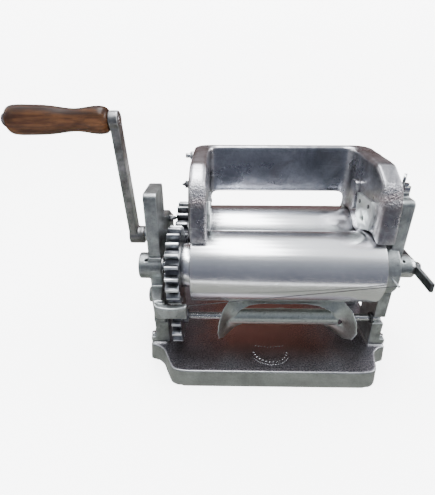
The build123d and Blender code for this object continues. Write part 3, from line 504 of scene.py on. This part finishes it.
def varnished_wood(name):
    """Dark turned hardwood along X with bands, streaks, pores and a glossy varnish."""
    heart, sap, streak = (0.008, 0.0034, 0.0014), (0.040, 0.0165, 0.0058), (0.008, 0.0022, 0.0015)
    m = Nodes(name, sap, 0.0, 0.32)
    m.shader.inputs["Coat Weight"].default_value = 0.10
    m.shader.inputs["Coat Roughness"].default_value = 0.16
    m.shader.inputs["Specular IOR Level"].default_value = 0.12
    streaks = m.noise(260.0, 5.0, 0.6, m.stretched((0.10, 1.0, 1.0)), distortion=0.6)
    bands = m.noise(60.0, 4.0, 0.5, m.stretched((0.22, 1.0, 1.0)), distortion=1.5)
    pores = m.noise(1500.0, 2.0, 0.6, m.stretched((0.05, 1.0, 1.0)))
    base = m.blend(bands, 0.34, 0.66, heart, sap)
    base = m.mix(m.ramp(streaks, [(0.42, 0.0), (0.62, 0.75)]), base, streak)
    m.colour(m.speckle(0.5, base, pores, 0.30, 0.46, floor=0.25))
    m.roughness(m.spread(streaks, 0.26, 0.44))
    m.normal(m.bump(pores, 0.05 * MM, 0.35))
    return m.material


def black_plastic(name):
    """Moulded plastic with a fine grain, greyer where it is worn."""
    black, grey = (0.008, 0.008, 0.009), (0.035, 0.033, 0.032)
    m = Nodes(name, black, 0.0, 0.3)
    wear = m.noise(300.0, 4.0, 0.6)
    m.colour(m.ramp(wear, [(0.35, black), (0.75, grey)]))
    m.roughness(m.spread(wear, 0.22, 0.45))
    m.normal(m.bump(m.noise(900.0, 2.0, 0.5), 0.03 * MM, 0.4))
    return m.material


def make_materials():
    gear = (0.30, 0.315, 0.34)
    return {
        "cast": cast_aluminium("cast_aluminium", (0.435, 0.465, 0.47), (0.215, 0.228, 0.232),
                               grain=900.0, depth=0.10 * MM, rough=0.38),
        "base": base_aluminium("base_aluminium"),
        "arm": cast_aluminium("crank_casting", (0.36, 0.365, 0.375), (0.14, 0.14, 0.14),
                              grain=700.0, depth=0.12 * MM, rough=0.34, blotch=45.0),
        "polish": polished_casting("polished_casting"),
        "turned": turned_aluminium("turned_aluminium", (0.80, 0.81, 0.83), rough=0.24),
        "satin": cast_aluminium("satin_casting", (0.52, 0.57, 0.55), (0.43, 0.47, 0.455),
                                grain=700.0, depth=0.02 * MM, rough=0.34, blotch=18.0),
        "front_gear": gear_steel("front_gear_steel", FRONT_AXIS, ROLLER_GEAR_TIP, gear),
        "rear_gear": gear_steel("rear_gear_steel", CRANK_AXIS, ROLLER_GEAR_TIP,
                                (0.16, 0.165, 0.175)),
        "cutter_gear": gear_steel("cutter_gear_steel", CUTTER_AXIS, CUTTER_GEAR_TIP, gear),
        "bright": machined_steel("bright_steel", (0.62, 0.63, 0.64), (0.44, 0.45, 0.46),
                                 rough=0.24, grime=0.15),
        "dark": machined_steel("dark_steel", (0.16, 0.165, 0.17), (0.06, 0.062, 0.065), rough=0.38),
        "bronze": machined_steel("bearing_bronze", (0.55, 0.40, 0.23), (0.36, 0.26, 0.14),
                                 rough=0.35),
        "wood": varnished_wood("varnished_wood"),
        "black": black_plastic("black_plastic"),
    }


# ------------------------------------------------------------------ CAD nodes that stay
WELD_GAP = 0.005 * MM
FLAT_ANGLE = math.radians(1.0)
BEVEL_ANGLE = math.radians(35.0)
BEVEL_SEGMENTS = 2
EDGE_WIDTH = 0.3 * MM
EDGE_WIDTHS = {
    "front_gear": 0.35 * MM, "rear_gear": 0.35 * MM, "cutter_gear": 0.35 * MM,
    "thickness_lever": 0.4 * MM, "front_axle": 0.8 * MM,
}
# The cast nodes that get a rounded skin: its voxel size and the passes that relax it.
CAST_SKINS = {
    "base_casting": (1.3 * MM, 8), "left_frame": (0.8 * MM, 4), "right_frame": (0.8 * MM, 4),
    "hopper": (1.1 * MM, 90), "crank_arm": (0.7 * MM, 8), "cutter": (0.8 * MM, 6),
}
# The material of each slot, and of the nodes that look different from their slot.
SLOT_MATERIAL = {
    "cast_aluminium": "cast", "polished_aluminium": "polish", "turned_aluminium": "turned",
    "gear_steel": "front_gear", "bright_steel": "bright", "dark_steel": "dark", "bronze": "bronze",
    "grip_wood": "wood", "black_plastic": "black",
}
OWN_MATERIAL = {
    "base_casting": "base", "crank_arm": "arm", "rear_gear": "rear_gear",
    "cutter_gear": "cutter_gear", "cutter": "satin", "peeling_wire": "dark",
    "wire_post": "cast", "left_cheek": "satin", "right_cheek": "satin",
}


def paint(obj, material):
    obj.data.materials.clear()
    obj.data.materials.append(material)


def soften_edges(obj, width):
    """Rounds a CAD node's sharp edges with modifiers and smooths its shading."""
    weld = obj.modifiers.new("weld", "WELD")
    weld.merge_threshold = WELD_GAP
    flat = obj.modifiers.new("flat", "DECIMATE")
    flat.decimate_type = "DISSOLVE"
    flat.angle_limit = FLAT_ANGLE
    bevel = obj.modifiers.new("bevel", "BEVEL")
    bevel.width = width
    bevel.segments = BEVEL_SEGMENTS
    bevel.limit_method = "ANGLE"
    bevel.angle_limit = BEVEL_ANGLE
    bevel.harden_normals = True
    for polygon in obj.data.polygons:
        polygon.use_smooth = True


def round_casting(obj, voxel, passes):
    """Rounds a cast CAD node all over: a fine even skin, relaxed, with smooth shading."""
    skin = obj.modifiers.new("skin", "REMESH")
    skin.mode = "VOXEL"
    skin.voxel_size = voxel
    skin.use_smooth_shade = True
    relax = obj.modifiers.new("relax", "SMOOTH")
    relax.factor = 0.5
    relax.iterations = passes


def dress_cad_nodes(materials):
    """Every CAD node stays, with its own material and with rounded edges."""
    slots = {row["node"]: row["material_slot"] for row in frame["record"]["subparts"]}
    for name, obj in frame["nodes"].items():
        paint(obj, materials[OWN_MATERIAL.get(name, SLOT_MATERIAL[slots[name]])])
        if name in CAST_SKINS:
            round_casting(obj, *CAST_SKINS[name])
        else:
            soften_edges(obj, EDGE_WIDTHS.get(name, EDGE_WIDTH))


# ------------------------------------------------------------------ base ornament
# Each row of strokes: radius and centre (Y) of its curve, half its angle, number of strokes,
# their slant, and their length, width and height.
MARK_ROWS = (
    (18.6 * MM, -55.0 * MM, 1.30, 14, 0.9, 3.2 * MM, 1.1 * MM, 0.45 * MM),
    (22.8 * MM, -55.0 * MM, 1.05, 18, 0.0, 2.8 * MM, 0.6 * MM, 0.35 * MM),
    (60.0 * MM, 8.5 * MM, 0.25, 10, 0.7, 2.4 * MM, 0.9 * MM, 0.25 * MM),
)
MARK_X = 1.5 * MM
MARK_SINK = 0.5 * MM         # how far the strokes reach into the base
PAD_RISE = 2.0 * MM          # the casting's pads stand this far above its flat top
STROKE_SIDES = 12
STROKE_RIDGE = 0.62          # size of a stroke's ridge, against its foot


def add_stroke(bm, centre, turn, length, width, low, high):
    """One raised lens-shaped stroke, domed to a ridge."""
    rings = []
    for scale, z in ((1.0, low), (1.0, (low + high) / 2), (STROKE_RIDGE, high)):
        ring = []
        for k in range(STROKE_SIDES):
            a = TAU * k / STROKE_SIDES
            u, v = length / 2 * scale * math.cos(a), width / 2 * scale * math.sin(a)
            ring.append(bm.verts.new((centre[0] + u * math.cos(turn) - v * math.sin(turn),
                                      centre[1] + u * math.sin(turn) + v * math.cos(turn), z)))
        rings.append(ring)
    for below, above in zip(rings, rings[1:]):
        for k in range(STROKE_SIDES):
            following = (k + 1) % STROKE_SIDES
            bm.faces.new((below[k], below[following], above[following], above[k]))
    bm.faces.new(rings[-1])
    bm.faces.new(list(reversed(rings[0])))


def make_base_mark(material):
    """A plain cast ornament on the base: three curved rows of raised strokes."""
    high_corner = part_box("base_casting")[1]
    top = high_corner[2] - PAD_RISE
    bm = bmesh.new()
    for radius, centre_y, half_angle, count, slant, length, width, height in MARK_ROWS:
        for k in range(count):
            a = (2 * k / (count - 1) - 1) * half_angle
            place = (MARK_X + radius * math.sin(a), centre_y - radius * math.cos(a))
            lean = slant * (1 if k % 2 else 1.25)
            add_stroke(bm, place, a + lean, length, width, top - MARK_SINK, top + height)
    mesh = bpy.data.meshes.new("base_mark")
    bm.to_mesh(mesh)
    bm.free()
    mark = bpy.data.objects.new("base_mark", mesh)
    bpy.context.scene.collection.objects.link(mark)
    for polygon in mesh.polygons:
        polygon.use_smooth = True
    mesh.materials.append(material)
    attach(mark, "frame")


# ------------------------------------------------------------------ the scene
make_camera()
light_the_studio()
MATERIALS = make_materials()
dress_cad_nodes(MATERIALS)
make_base_mark(MATERIALS["bright"])
